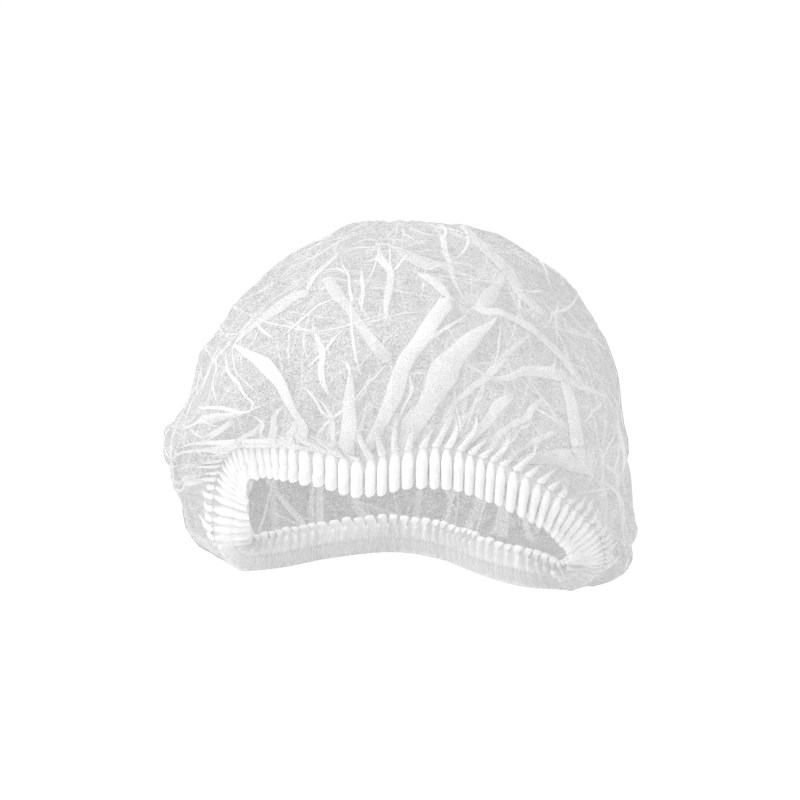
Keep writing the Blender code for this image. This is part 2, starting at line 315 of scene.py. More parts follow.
# %% The dome as a grid
DRAW_BACK_PER_MM = 0.003
SECTIONS = (
    # rise front, side, back, follow, reach right, left, front, back, and the front's own lift in mm
    (0.085, 0.012, 0.000, 0.90, 0.945, 0.930, 0.910, 0.700, 12),
    (0.215, 0.060, 0.000, 0.75, 0.985, 0.980, 0.985, 0.850, 21),
    (0.360, 0.190, 0.110, 0.58, 0.990, 0.985, 1.000, 0.975, 18),
    (0.500, 0.320, 0.275, 0.42, 0.980, 0.940, 0.980, 1.000, 13),
    (0.640, 0.460, 0.450, 0.28, 0.945, 0.870, 0.910, 0.960, 7),
    (0.760, 0.610, 0.620, 0.17, 0.890, 0.785, 0.780, 0.860, 2),
    (0.870, 0.770, 0.780, 0.08, 0.780, 0.625, 0.600, 0.690, 0),
    (0.940, 0.890, 0.900, 0.03, 0.575, 0.415, 0.390, 0.460, 0),
    (0.983, 0.965, 0.970, 0.01, 0.300, 0.225, 0.190, 0.230, 0),
)


def open_spline(knots, shares):
    """Read a smooth open curve through the rows of knots: a cubic between each two rows.

    Past the top the curve goes down again on the far side, so that the top is round.
    """
    last = len(knots) - 1
    padded = np.concatenate([[2 * knots[0] - knots[1]], knots, [knots[-2] * [-1, -1, 1]]])
    place = np.clip(np.asarray(shares) * last, 0, last - 1e-9)
    base = np.floor(place).astype(int)
    part = (place - base)[:, None, None]
    return cubic(*(padded[base + step] for step in range(4)), part)


def dome_grid(count, level_count):
    """Return the plain dome as rings of points, with the turn of each column and the levels.

    A ring's reach is the cosine over the half width and the sine over the half depth, each to the
    power of ROUNDNESS, added up, to the power of minus one over ROUNDNESS. Its height is a share of
    the cap's height, plus the share of the mouth's height that it still follows, plus the front's
    own lift.
    """
    points, _, _ = mouth_line(count)
    turns = np.arctan2(points[:, 1] + MOUTH_FORWARD, points[:, 0])
    side = np.cos(turns) ** 2
    front = np.where(np.sin(turns) < 0, 1 - side, 0.0)
    back = np.where(np.sin(turns) > 0, 1 - side, 0.0)
    highest = CAP_HEIGHT - WALL / 2
    knots = [points]
    for rise_front, rise_side, rise_back, follow, right, left, ahead, behind, own_lift in SECTIONS:
        half_wide = np.where(np.cos(turns) > 0, right, left) * CAP_WIDTH / 2
        ahead = ahead - own_lift * DRAW_BACK_PER_MM
        half_deep = np.where(np.sin(turns) > 0, behind, ahead) * CAP_DEPTH / 2
        reach = np.abs(np.cos(turns) / half_wide) ** ROUNDNESS
        reach += np.abs(np.sin(turns) / half_deep) ** ROUNDNESS
        reach **= -1 / ROUNDNESS
        rise = front * rise_front + side * rise_side + back * rise_back
        lifted = np.clip(points[:, 2] / LIP_LIFT, 0.0, 1.0) ** 2 * front
        height = rise * highest + follow * points[:, 2] + own_lift / MM_PER_METRE * lifted
        knots.append(np.stack([reach * np.cos(turns), reach * np.sin(turns), height], axis=1))
    knots.append(np.tile([0.0, 0.0, highest], (count, 1)))
    levels = np.linspace(0.0, 1.0, level_count + 1)
    surface = open_spline(np.array(knots), levels)
    surface[..., 2] = np.maximum(surface[..., 2], WALL / 2)
    return surface, turns / (2 * np.pi) % 1.0, levels


def outward_ways(surface):
    """Return the way out of a grid of rings: at right angles to the steps round and up."""
    around = np.roll(surface, -1, axis=1) - np.roll(surface, 1, axis=1)
    upward = np.gradient(surface, axis=0)
    upward[-1] = surface[-1] - surface[-2]
    outward = unit(np.cross(around, upward) + 1e-12)
    outward[-1] = (0.0, 0.0, 1.0)
    return outward


# %% [markdown]
# ## Folds traced on the photo
#
# A disc can't follow a dome without folding. Close to the hem stand the gathers. Above them they join
# into wider pleats that lie down flat, so that three layers lie over each other in a white band with
# crisp edges. Further up they end in long thin creases, with almost flat fabric between them.
#
# A cloth simulation finds such folds by itself, but never the ones in the photo, and its folds come
# out soft on any mesh that it can finish in time. So each fold of the front is traced: a band by its
# two edges, a crease by its middle line. Tracing gives pixels of the 800 pixel photo, which are then
# put on the dome. The folds all round are made by a rule further on.

# %% Traced folds
# Each band: its thickness in millimetres, its share of a layer, one edge and the other, in pixels.
FRONT_BANDS = (
    (0.6, 1.3,
     ((440, 291), (425, 322), (412, 340), (400, 355), (391, 375), (383, 400), (372, 425),
      (362, 466)),
     ((457, 307), (443, 325), (430, 345), (417, 360), (411, 374), (405, 395), (394, 414),
      (380, 466))),
    (0.5, 0.8,
     ((418, 275), (430, 277), (442, 285), (457, 307)),
     ((418, 277), (428, 285), (435, 291), (442, 297))),
    (0.6, 1.0,
     ((495, 320), (465, 335), (445, 350), (432, 361), (424, 380), (420, 395), (409, 415),
      (394, 464)),
     ((495, 322), (482, 340), (470, 355), (462, 368), (460, 380), (450, 392), (436, 410),
      (414, 466))),
    (0.5, 0.9,
     ((470, 309), (485, 313), (502, 315), (530, 326), (547, 337), (561, 346), (572, 360),
      (582, 388)),
     ((470, 311), (485, 319), (500, 323), (528, 336), (543, 347), (553, 356), (563, 368),
      (575, 390))),
    (0.6, 1.0,
     ((486, 375), (505, 374), (523, 366), (549, 368), (560, 377), (580, 386), (608, 396)),
     ((486, 378), (505, 380), (521, 377), (540, 379), (560, 386), (580, 393), (608, 398))),
    (0.7, 1.2,
     ((494, 397), (486, 412), (475, 425), (460, 440), (450, 452), (446, 466)),
     ((520, 386), (512, 399), (500, 412), (487, 430), (472, 448), (463, 468))),
    (0.6, 1.2,
     ((552, 370), (556, 385), (561, 400), (565, 415), (568, 435), (572, 458)),
     ((560, 370), (565, 388), (573, 405), (580, 425), (584, 445), (586, 460))),
    (0.6, 1.2,
     ((240, 346), (262, 356), (275, 361), (286, 377), (293, 394), (300, 410), (311, 430),
      (319, 450)),
     ((240, 349), (250, 360), (262, 371), (274, 383), (283, 397), (293, 412), (299, 427),
      (306, 452))),
    (0.5, 0.5,
     ((240, 347), (255, 328), (275, 306), (292, 294), (312, 293)),
     ((241, 350), (262, 332), (285, 315), (298, 304), (312, 300))),
    (0.7, 1.3,
     ((350, 372), (346, 388), (343, 405), (341, 430), (341, 468)),
     ((354, 372), (356, 388), (357, 405), (358, 430), (359, 470))),
    (0.5, 0.5,
     ((322, 279), (330, 297), (345, 312), (357, 328), (367, 345), (377, 358), (386, 368)),
     ((342, 285), (351, 303), (360, 314), (369, 327), (381, 341), (397, 356))),
    (0.5, 0.6,
     ((590, 444), (566, 446), (535, 449), (512, 462)),
     ((592, 476), (570, 470), (545, 466), (520, 466))),
    (0.5, 0.6,
     ((200, 415), (222, 412), (247, 409)),
     ((196, 426), (220, 421), (248, 413))),
    (0.5, 0.5,
     ((505, 266), (497, 280), (480, 296), (470, 311)),
     ((503, 281), (498, 296), (494, 308), (484, 315))),
    (0.5, 0.4,
     ((386, 241), (410, 252), (440, 264), (462, 264)),
     ((388, 246), (406, 262), (430, 272), (452, 270))),
    (0.5, 0.5,
     ((455, 231), (476, 243), (500, 262), (522, 290), (545, 318)),
     ((458, 235), (474, 250), (494, 270), (514, 296), (541, 322))),
)
# Each narrow fold: its width in millimetres, its share of a layer, and its middle line in pixels.
# A broad one bends smoothly from place to place, a thin crease goes straight.
FRONT_CREASES = (
    (3.6, 0.9, (532, 329), (510, 351), (492, 370), (472, 388), (455, 403), (441, 425),
     (430, 458)),
    (4.2, 1.0, (548, 392), (533, 406), (527, 417), (508, 427), (487, 443), (472, 464)),
    (3.6, 0.9, (562, 426), (543, 437), (525, 447), (502, 464)),
    (2.2, 1.1, (592, 443), (592, 460), (593, 477)),
    (3.6, 0.8, (430, 226), (444, 244), (450, 265), (456, 283), (463, 300), (471, 312)),
    (4.6, 1.0, (340, 249), (330, 262), (318, 276), (312, 288), (311, 301)),
    (4.0, 1.0, (312, 320), (318, 338), (322, 354), (321, 372), (326, 388), (334, 398),
     (346, 401)),
    (4.4, 0.9, (380, 240), (382, 257), (390, 267), (391, 282), (388, 302), (385, 326)),
    (3.2, 1.0, (342, 436), (328, 446), (318, 462)),
    (3.2, 1.0, (298, 404), (296, 425), (302, 444)),
    (4.0, 1.0, (290, 400), (276, 415), (274, 432), (285, 448)),
    (3.0, 0.9, (427, 398), (412, 410), (403, 428), (396, 458)),
    (3.0, 0.9, (460, 398), (449, 420), (437, 440), (430, 464)),
    (2.4, 1.0, (362, 262), (364, 290), (361, 316)),
    (3.0, 0.9, (368, 400), (362, 425), (352, 448), (348, 466)),
    (3.0, 0.9, (322, 400), (334, 425), (340, 450)),
    (3.4, 0.9, (262, 412), (256, 430), (246, 446)),
    (3.0, 0.9, (238, 414), (224, 428), (200, 440)),
    (1.7, 1.3, (488, 377), (505, 377), (523, 370), (549, 370), (556, 351)),
    (1.6, 1.3, (498, 323), (497, 345), (490, 374)),
    (1.6, 1.3, (440, 357), (450, 367), (459, 382)),
    (1.6, 1.3, (411, 374), (414, 390), (404, 408), (396, 430)),
    (1.6, 1.3, (424, 380), (436, 392), (444, 404)),
    (1.8, 1.3, (470, 311), (456, 324), (441, 334), (425, 345), (410, 366)),
    (1.8, 1.3, (300, 385), (312, 394), (322, 411), (332, 420), (341, 408)),
    (1.8, 1.3, (280, 342), (302, 322), (319, 306), (344, 299)),
    (1.6, 1.2, (343, 250), (350, 275), (353, 300), (354, 345), (366, 386)),
    (1.6, 1.3, (345, 322), (325, 349), (300, 373)),
    (1.6, 1.2, (345, 358), (351, 370), (351, 384)),
    (1.8, 1.3, (395, 358), (378, 376), (358, 396), (340, 412), (328, 422), (319, 442)),
    (1.8, 1.3, (190, 400), (225, 408), (248, 411), (265, 404), (283, 398)),
    (1.6, 1.2, (180, 430), (204, 420), (226, 428)),
    (1.8, 1.3, (250, 412), (265, 425), (273, 440)),
    (1.6, 1.2, (248, 411), (232, 424), (216, 444)),
    (1.6, 1.2, (224, 332), (216, 350), (217, 372), (221, 404)),
    (1.8, 1.3, (227, 342), (231, 366), (241, 384), (250, 400), (262, 410)),
    (1.6, 1.2, (262, 300), (244, 318), (234, 340)),
    (1.6, 1.2, (345, 245), (362, 236), (385, 229)),
    (1.6, 1.2, (303, 275), (322, 262), (341, 246)),
    (1.6, 1.2, (320, 273), (340, 270), (352, 278)),
    (1.6, 1.2, (360, 262), (378, 257), (390, 268)),
    (2.0, 1.3, (386, 240), (408, 253), (440, 265), (474, 268), (503, 281)),
    (1.6, 1.2, (411, 256), (400, 262), (390, 271)),
    (1.6, 1.2, (450, 229), (450, 262)),
    (1.8, 1.2, (433, 224), (442, 240), (448, 262)),
    (1.8, 1.3, (455, 231), (475, 243), (500, 266), (520, 290), (541, 315), (558, 342)),
    (1.6, 1.2, (425, 272), (441, 268), (452, 268)),
    (1.6, 1.2, (502, 296), (522, 294), (548, 289)),
    (1.6, 1.2, (515, 245), (532, 262), (548, 283), (562, 300)),
    (2.0, 1.2, (570, 288), (555, 312), (540, 331)),
    (1.8, 1.2, (604, 397), (590, 411), (579, 426)),
    (2.4, 0.9, (560, 298), (557, 320), (560, 346)),
    (1.8, 1.3, (537, 420), (520, 430), (498, 452)),
    (1.8, 1.3, (530, 405), (548, 415), (563, 426)),
    (1.6, 1.2, (478, 398), (470, 418), (459, 444)),
    (1.6, 1.2, (455, 385), (456, 405), (459, 440)),
    (1.6, 1.2, (408, 370), (412, 386), (408, 400)),
    (1.6, 1.2, (372, 372), (366, 392), (350, 410)),
    (1.6, 1.2, (280, 342), (268, 335), (260, 322)),
    (1.6, 1.2, (258, 262), (272, 258), (300, 256)),
    (3.0, 0.8, (594, 478), (612, 488), (623, 508), (617, 534)),
    (2.6, 0.8, (596, 462), (613, 470), (622, 486)),
    (2.2, 0.9, (600, 440), (603, 462), (600, 490)),
    (2.0, 0.9, (612, 424), (616, 452), (611, 486)),
    (1.6, 1.2, (594, 476), (606, 450), (612, 420)),
    (1.6, 1.2, (176, 446), (198, 452), (218, 462)),
    (2.4, 0.9, (178, 470), (196, 466), (214, 470)),
    (2.2, 0.9, (186, 424), (204, 440), (222, 450)),
)


TRACE_COLUMNS = 720
TRACE_LEVELS = 200
OUT_OF_SIGHT = 1000.0


def on_dome(pixels):
    """Find where traced pixels lie on the plain dome, as shares of the turn and of the level.

    Each grid point of the dome that faces the camera is projected into the photo, as x and y over
    depth. The one nearest to the pixel is taken, and the rest of the way goes by the steps to its
    neighbours.
    """
    dome, turns, levels = dome_grid(TRACE_COLUMNS, TRACE_LEVELS)
    ahead = -np.array(back_way)
    right = np.array([1.0, 0.0, 0.0])
    away = dome - np.array(camera.location)
    depth = away @ ahead
    scale = PHOTO_PIXELS * LENS_MM / SENSOR_MM
    centre = PHOTO_PIXELS / 2
    pixel_x = centre + scale * (away @ right) / depth
    pixel_y = centre - scale * (away @ np.cross(right, ahead)) / depth
    seen = np.stack([pixel_x, pixel_y], axis=-1)
    hidden = np.where((away * outward_ways(dome)).sum(axis=-1) < 0, 0.0, OUT_OF_SIGHT)
    hidden[0] = hidden[-2:] = OUT_OF_SIGHT
    pixels = np.asarray(pixels, float)
    nearest = [int((np.hypot(*(seen - pixel).transpose(2, 0, 1)) + hidden).argmin()) for pixel in pixels]
    level, column = np.divmod(nearest, TRACE_COLUMNS)
    next_column = (column + 1) % TRACE_COLUMNS
    start = seen[level, column]
    step_round = seen[level, next_column] - start
    step_up = seen[level + 1, column] - start
    rest = pixels - start
    area = step_round[:, 0] * step_up[:, 1] - step_round[:, 1] * step_up[:, 0]
    part_round = np.clip((rest[:, 0] * step_up[:, 1] - rest[:, 1] * step_up[:, 0]) / area, -1.0, 1.0)
    part_up = np.clip((step_round[:, 0] * rest[:, 1] - step_round[:, 1] * rest[:, 0]) / area, -1.0, 1.0)
    turn_step = (turns[next_column] - turns[column] + 0.5) % 1.0 - 0.5
    turn = np.unwrap((turns[column] + part_round * turn_step) * 2 * np.pi) / (2 * np.pi)
    return np.stack([turn, levels[level] + part_up / TRACE_LEVELS], axis=1)


traced_bands = [(thick, share, on_dome(left), on_dome(right)) for thick, share, left, right in FRONT_BANDS]
traced_creases = [(width, share, on_dome(line)) for width, share, *line in FRONT_CREASES]
print("traced", len(traced_bands), "bands and", len(traced_creases), "creases, the first from turn and level",
      np.round(traced_bands[0][2][0], 3))

# %% [markdown]
# ## Folds by rule
#
# The photo shows only the front. All round the dome the same fabric has the same kinds of fold, so the
# rest is made by a rule: start places spread evenly, each with a seeded lean, length and width. Where
# the traced folds are, the rule adds only thin creases.

# %% Folds by rule
RULE_BANDS = 44
RULE_CREASES = 230
RULE_BAND_MM = 0.6
TRACED_TURNS = (0.56, 0.95)
TRACED_TOP = 0.88
BACK_ENDS = 0.46
TURN_STEP = 0.6180339887
LEVEL_STEP = 0.7548776662


def in_front(turn, level):
    """Tell which places lie on the part of the dome where folds are traced."""
    return (turn % 1.0 > TRACED_TURNS[0]) & (turn % 1.0 < TRACED_TURNS[1]) & (level < TRACED_TOP)


def bands_by_rule(count, seed):
    """Stand long bands on the hem at even steps of turn. Each narrows upwards to a point.

    A band's middle leans with its rise to the power 1.5, plus a small sine. Its width is what is left
    of the rise, times 0.8 plus 0.2 of another sine.
    """
    dice = np.random.default_rng(seed)
    turn = (np.arange(count) + dice.uniform(-0.35, 0.35, count)) / count
    at_back = turn % 1.0 < BACK_ENDS
    top = np.where(at_back, dice.uniform(0.35, 0.70, count), dice.uniform(0.14, 0.60, count))
    lean = dice.normal(0.0, 0.10, count) * top
    broad = np.where(at_back, dice.uniform(0.006, 0.020, count), dice.uniform(0.004, 0.012, count))
    strength = dice.uniform(0.5, 1.1, count) * np.where(at_back, 0.5, 1.0)
    rise = np.linspace(0.0, 1.0, 6)
    bands = []
    for number in np.flatnonzero(~in_front(turn, 0.0)):
        middle = turn[number] + lean[number] * rise ** 1.5 + 0.01 * np.sin(3 * rise + number)
        half = broad[number] * (1 - rise) * (0.8 + 0.2 * np.sin(4 * rise + number)) / 2
        level = 0.012 + rise * top[number]
        left, right = (np.stack([edge, level], axis=1) for edge in (middle - half, middle + half))
        bands.append((RULE_BAND_MM, strength[number], left, right))
    return bands


def creases_by_rule(count, seed):
    """Spread thin creases over the dome. Most run up with a lean, the others run round.

    Turn and level go on by a fixed step each time and start again past one, which spreads them
    evenly. A crease is a straight line plus half a wave of a sine.
    """
    dice = np.random.default_rng(seed)
    index = np.arange(count)
    turn = (index * TURN_STEP) % 1.0
    level = 0.06 + 0.80 * ((index * LEVEL_STEP) % 1.0)
    upward = dice.random(count) < 0.65
    rise = np.where(upward, dice.uniform(0.10, 0.30, count), dice.uniform(-0.07, 0.07, count))
    lean = np.where(upward, dice.normal(0.0, 0.035, count), dice.uniform(0.04, 0.11, count))
    lean = lean / np.maximum(1.2 - level, 0.6)
    width = np.where(in_front(turn, level), dice.uniform(0.8, 1.2, count), dice.uniform(0.9, 1.7, count))
    strength = dice.uniform(0.4, 0.9, count)
    bow = dice.normal(0.0, 0.006, count)
    creases = []
    share = np.array([0.0, 0.5, 1.0])
    for number in index:
        line_turn = turn[number] + lean[number] * share + bow[number] * np.sin(np.pi * share)
        line_level = np.clip(level[number] + rise[number] * share, 0.03, 0.985)
        creases.append((width[number], strength[number], np.stack([line_turn, line_level], axis=1)))
    return creases


all_bands = traced_bands + bands_by_rule(RULE_BANDS, seed=3)
all_creases = traced_creases + creases_by_rule(RULE_CREASES, seed=8)
print("in all", len(all_bands), "bands and", len(all_creases), "creases")

# %% [markdown]
# ## The relief under the folds
#
# Even where no layers overlap, the fabric isn't a smooth dome. It stands up a little along each fold
# and is almost flat between folds, like a tent between its ropes. So the dome is raised along the
# bands, and folded along many seeded lines, from which the height falls evenly to both sides.

# %% Relief
FABRIC_REACH = CAP_HEIGHT + CAP_WIDTH / 2
MEAN_GIRTH = np.pi * 0.25
BAND_RISE = 0.0025
BAND_SPREAD = 0.007
TENTS = 120
TENT_REACH = (0.015, 0.032)
TENT_SLOPE = (0.05, 0.12)


def even_path(places, count, smooth=True):
    """Read a smooth or a straight-edged line through places at equal steps of its length.

    The smooth one goes on a cubic between each two places. Lengths are taken on the unrolled dome.
    """
    places = np.asarray(places, float)
    if smooth and len(places) > 2:
        padded = np.concatenate([[2 * places[0] - places[1]], places, [2 * places[-1] - places[-2]]])
        share = np.linspace(0.0, len(places) - 1, 8 * (len(places) - 1) + 1)
        base = np.minimum(share.astype(int), len(places) - 2)
        part = (share - base)[:, None]
        places = cubic(*(padded[base + step] for step in range(4)), part)
    steps = np.hypot(*(np.diff(places, axis=0) * [MEAN_GIRTH, FABRIC_REACH]).T)
    length = np.concatenate([[0.0], np.cumsum(steps)])
    wanted = np.linspace(0.0, length[-1], count)
    return np.stack([np.interp(wanted, length, column) for column in places.T], axis=1)


def line_distance(turns, levels, girth, line):
    """Measure from grid points to a line of places, in metres of unrolled fabric, near the line.

    It is the smallest distance to any stretch of the line: each point is dropped at a right angle on
    the stretch, or on the nearer end.
    """
    middle = (line[:, 0].min() + line[:, 0].max()) / 2
    span = np.ptp(line[:, 0]) / 2 + 0.05
    if line[:, 1].max() > 0.75:
        span = 0.5
    near_rows = (levels > line[:, 1].min() - 0.10) & (levels < line[:, 1].max() + 0.10)
    near_columns = np.abs((turns - middle + 0.5) % 1.0 - 0.5) <= span
    part = np.ix_(near_rows, near_columns)
    turns, levels, girth = turns[near_columns], levels[near_rows], girth[part]
    nearest = np.full(girth.shape, np.inf)
    for (turn_a, level_a), (turn_b, level_b) in zip(line[:-1], line[1:]):
        aside = ((turns - turn_a + 0.5) % 1.0 - 0.5)[None, :] * girth
        above = (levels - level_a)[:, None] * FABRIC_REACH
        step_round = (turn_b - turn_a) * girth
        step_up = (level_b - level_a) * FABRIC_REACH
        share = (aside * step_round + above * step_up) / (step_round ** 2 + step_up ** 2)
        share = np.clip(share, 0.0, 1.0)
        nearest = np.minimum(nearest, np.hypot(aside - share * step_round, above - share * step_up))
    return part, nearest


def fold_relief(turns, levels, girth):
    """Raise the dome along the bands: the rise times exp of minus the distance over the spread, squared."""
    relief = np.zeros(girth.shape)
    for _, _, left, right in all_bands:
        line, other = even_path(left, 6), even_path(right, 6)
        line[:, 0] += ((other[:, 0] - line[:, 0] + 0.5) % 1.0 - 0.5) / 2
        line[:, 1] = (line[:, 1] + other[:, 1]) / 2
        part, distance = line_distance(turns, levels, girth, line)
        relief[part] = np.maximum(relief[part], BAND_RISE * np.exp(-(distance / BAND_SPREAD) ** 2))
    return relief


def tent_relief(turns, levels, girth, count, seed):
    """Fold the dome along long seeded lines: the height falls evenly to both sides of each line."""
    dice = np.random.default_rng(seed)
    relief = np.zeros(girth.shape)
    for _ in range(count):
        turn, level = dice.random(), dice.uniform(0.15, 0.95)
        end = (turn + dice.normal(0.0, 0.06), level + dice.uniform(0.10, 0.35))
        part, distance = line_distance(turns, levels, girth, np.array([(turn, level), end]))
        reach = dice.uniform(*TENT_REACH)
        fall = np.clip(1 - distance / reach, 0.0, None)
        relief[part] += dice.uniform(*TENT_SLOPE) * reach * fall * dice.choice([-1.0, 1.0])
    return relief


# %% [markdown]
# ## Gathers
#
# Under the elastic the fabric stands in tight waves, side by side. Seen from above a wave is not a
# sine: the fabric bulges past its own foot, like the loops of a slow river. That needs a push along
# the hem as well as one across it. The same gathers run up into the crown and down into the hem.

# %% Gathers shared by the crown and the hem
GATHERS = 96
pitch = mouth_length / GATHERS
print("one gather every", round(pitch * MM_PER_METRE, 2), "mm")


def gather_phase(shares):
    """Return which gather a share of the mouth line is in.

    It is the number of gathers times the share, plus four slow sines, so that no two are alike.
    """
    turn = 2 * np.pi * shares
    drift = 0.30 * np.sin(5 * turn + 0.7) + 0.12 * np.sin(11 * turn + 2.1)
    drift += 0.05 * np.sin(23 * turn + 4.0) + 0.025 * np.sin(41 * turn + 1.0)
    return GATHERS * shares + drift


def gather_slide(wave):
    """Return the push along the hem in shares of a gather: wide round crests, narrow valleys.

    It is 0.22 times the sine of the wave plus 0.07 times the sine of twice the wave.
    """
    return 0.22 * np.sin(wave) + 0.07 * np.sin(2 * wave)


def back_share(way):
    """Tell how far the hem stands upwards: 1 at the back, 0 in front, where it hangs down."""
    return np.clip(way[:, 2] * 1.5, 0.0, 1.0)


def smooth_steps(phase, seed, low, high):
    """Give each gather a seeded number, and go from one to the next by 3 x squared minus 2 x cubed."""
    values = np.random.default_rng(seed).uniform(low, high, GATHERS)
    base = np.floor(phase).astype(int)
    part = phase - base
    part = part * part * (3 - 2 * part)
    return values[base % GATHERS] * (1 - part) + values[(base + 1) % GATHERS] * part


# %% The crown
DISC_RADIUS = 0.279
FOOT_COLUMNS = 1200
FOOT_LEVEL = 0.15
FOOT_ROWS = 25
CROWN_ROWS = 113
DOME_LEVELS = 220
CALM_HEIGHT = 0.030
CALM_TOP = 0.10
GATHER_REACH = (0.014, 0.034)
CREST_FRONT = 0.0022
CREST_LESS_AT_BACK = 0.0019
CREST_START = 0.006
SLIDE_REACH = 0.007
GATHER_TURN = 0.008
TOP_ALLOWANCE = 0.004
PLAIN_LAYERS = 0.84
FOOT_LAYERS = 0.7
FOOT_LAYERS_REACH = 0.010


def crown_points(columns, first_level, last_level, row_count):
    """Return a belt of the crown with its flat places on the disc and its layers.

    It is the plain dome plus the relief along its outward way, plus the gathers: a cosine of the
    gather's phase that fades with height, out near the hem's side way and then out of the dome, and
    a slide along the hem that fades sooner.
    """
    dome, turns, _ = dome_grid(columns, DOME_LEVELS)
    steps = np.linalg.norm(np.diff(dome, axis=0), axis=2)
    fine_height = np.concatenate([np.zeros((1, columns)), np.cumsum(steps, axis=0)])
    levels = np.linspace(first_level, last_level, row_count)
    place = levels * DOME_LEVELS
    base = np.minimum(place.astype(int), DOME_LEVELS - 1)
    part = (place - base)[:, None]

    def at_levels(grid):
        """Read a grid between its rings, by even blending."""
        share = part if grid.ndim == 2 else part[..., None]
        return grid[base] * (1 - share) + grid[base + 1] * share

    outward = unit(at_levels(outward_ways(dome)))
    dome, height = at_levels(dome), at_levels(fine_height)
    girth = 2 * np.pi * np.linalg.norm(dome[..., :2], axis=2) + 1e-6
    shares = np.arange(columns) / columns

    rise = np.clip(height / CALM_HEIGHT, 0.0, 1.0)
    calm = rise ** 2 * (3 - 2 * rise) * np.clip((1 - levels) / CALM_TOP, 0.0, 1.0)[:, None]
    lift = (fold_relief(turns, levels, girth) + tent_relief(turns, levels, girth, TENTS, seed=5)) * calm

    points, way, _ = mouth_line(columns)
    standing = back_share(way)[None, :]
    phase = gather_phase(shares)[None, :]
    reach = smooth_steps(phase, 1, *GATHER_REACH)
    fade = np.exp(-(height / reach) ** 1.6)
    wave = 2 * np.pi * phase
    crest = np.cos(wave)
    sway = (CREST_FRONT - CREST_LESS_AT_BACK * standing) * crest * fade
    sway = sway * np.clip(height / CREST_START + 0.25, 0.0, 1.0)
    slide = pitch * gather_slide(wave) * np.exp(-(height / SLIDE_REACH) ** 2) * (0.25 - 0.10 * standing)
    _, along, facing = hem_ring(points, way, 0.0)
    low = np.exp(-height / GATHER_TURN)[..., None]
    gather_way = unit(outward * (1 - low) - facing[None] * low)
    place = dome + outward * lift[..., None] + gather_way * sway[..., None]
    place += along[None] * slide[..., None]
    place[..., 2] = np.clip(place[..., 2], ABOVE_FLOOR, CAP_HEIGHT + TOP_ALLOWANCE)
    foot_layers = FOOT_LAYERS * (0.6 + 0.4 * crest) * np.exp(-(height / FOOT_LAYERS_REACH) ** 2)
    layers = PLAIN_LAYERS + foot_layers
    radius = DISC_RADIUS * (1 - levels)[:, None, None]
    disc = radius * np.stack([np.cos(2 * np.pi * shares), np.sin(2 * np.pi * shares)], axis=-1)[None]
    return place + FOOTPRINT_SHIFT, disc, layers


# %% [markdown]
# ## From grids to meshes
#
# A ring grid becomes a mesh when each point is joined to its neighbour round the ring and to the
# same point on the next ring. The flat place of each point on the cut disc is kept as its UV, so that
# the thick and thin clouds of the fabric follow it into every fold. The number of layers that lie over
# each other is kept as an attribute, which the material reads. In the hem that attribute also carries
# painted shade: less cover in the valleys between the front rolls and in the furrow at the back.

# %% Ring grid to mesh
def join_rings(index):
    """Join a grid of closed rings of point numbers into four-cornered faces."""
    ahead = np.roll(index, -1, axis=1)
    return np.stack([index[:-1], ahead[:-1], ahead[1:], index[1:]], axis=-1).reshape(-1, 4)


def sheet_mesh(name, place, flat, layers, face_groups):
    """Make a mesh from points, their flat places, their layers, and groups of faces."""
    corners = np.concatenate([faces.reshape(-1) for faces in face_groups])
    sizes = np.concatenate([np.full(len(faces), faces.shape[1]) for faces in face_groups])
    starts = np.concatenate([[0], np.cumsum(sizes)[:-1]])
    mesh = bpy.data.meshes.new(name)
    mesh.vertices.add(len(place))
    mesh.vertices.foreach_set("co", place.reshape(-1).astype(np.float32))
    mesh.loops.add(len(corners))
    mesh.loops.foreach_set("vertex_index", corners.astype(np.int32))
    mesh.polygons.add(len(sizes))
    mesh.polygons.foreach_set("loop_start", starts.astype(np.int32))
    mesh.update(calc_edges=True)
    layer = mesh.uv_layers.new(name="flat")
    layer.data.foreach_set("uv", flat[corners].reshape(-1).astype(np.float32))
    field = mesh.attributes.new("layers", "FLOAT", "POINT")
    field.data.foreach_set("value", layers.astype(np.float32))
    mesh.validate()
    mesh.shade_smooth()
    piece = bpy.data.objects.new(name, mesh)
    bpy.context.scene.collection.objects.link(piece)
    return piece


# %% [markdown]
# The gathers are fine and the dome above them is not, so the crown's foot has twice as many columns.
# Where the two belts meet, each step of the upper ring is joined to two steps of the lower one by a
# face with five corners.

# %% The crown's mesh
foot = crown_points(FOOT_COLUMNS, 0.0, FOOT_LEVEL, FOOT_ROWS)
half = FOOT_COLUMNS // 2
level_step = (1 - FOOT_LEVEL) / CROWN_ROWS
upper = crown_points(half, FOOT_LEVEL + level_step, 1.0, CROWN_ROWS)
upper[0][-1] = upper[0][-1].mean(axis=0)
foot_index = np.arange(FOOT_ROWS * FOOT_COLUMNS).reshape(FOOT_ROWS, FOOT_COLUMNS)
upper_index = foot_index.size + np.arange(CROWN_ROWS * half).reshape(CROWN_ROWS, half)
top = foot_index[-1]
low_left, low_middle, low_right = top[0::2], top[1::2], np.roll(top[0::2], -1)
joint = np.stack([low_left, low_middle, low_right, np.roll(upper_index[0], -1), upper_index[0]], axis=-1)
place, disc, layers = (np.concatenate([a.reshape(-1, *a.shape[2:]), b.reshape(-1, *b.shape[2:])])
                       for a, b in zip(foot, upper))
crown_faces = [join_rings(foot_index), joint, join_rings(upper_index)]
crown = sheet_mesh("crown_sheet", place, disc, layers, crown_faces)
crown.data.calc_loop_triangles()
print("crown:", len(crown.data.loop_triangles), "triangles, box in mm",
      np.round(place.min(axis=0) * MM_PER_METRE), np.round(place.max(axis=0) * MM_PER_METRE))

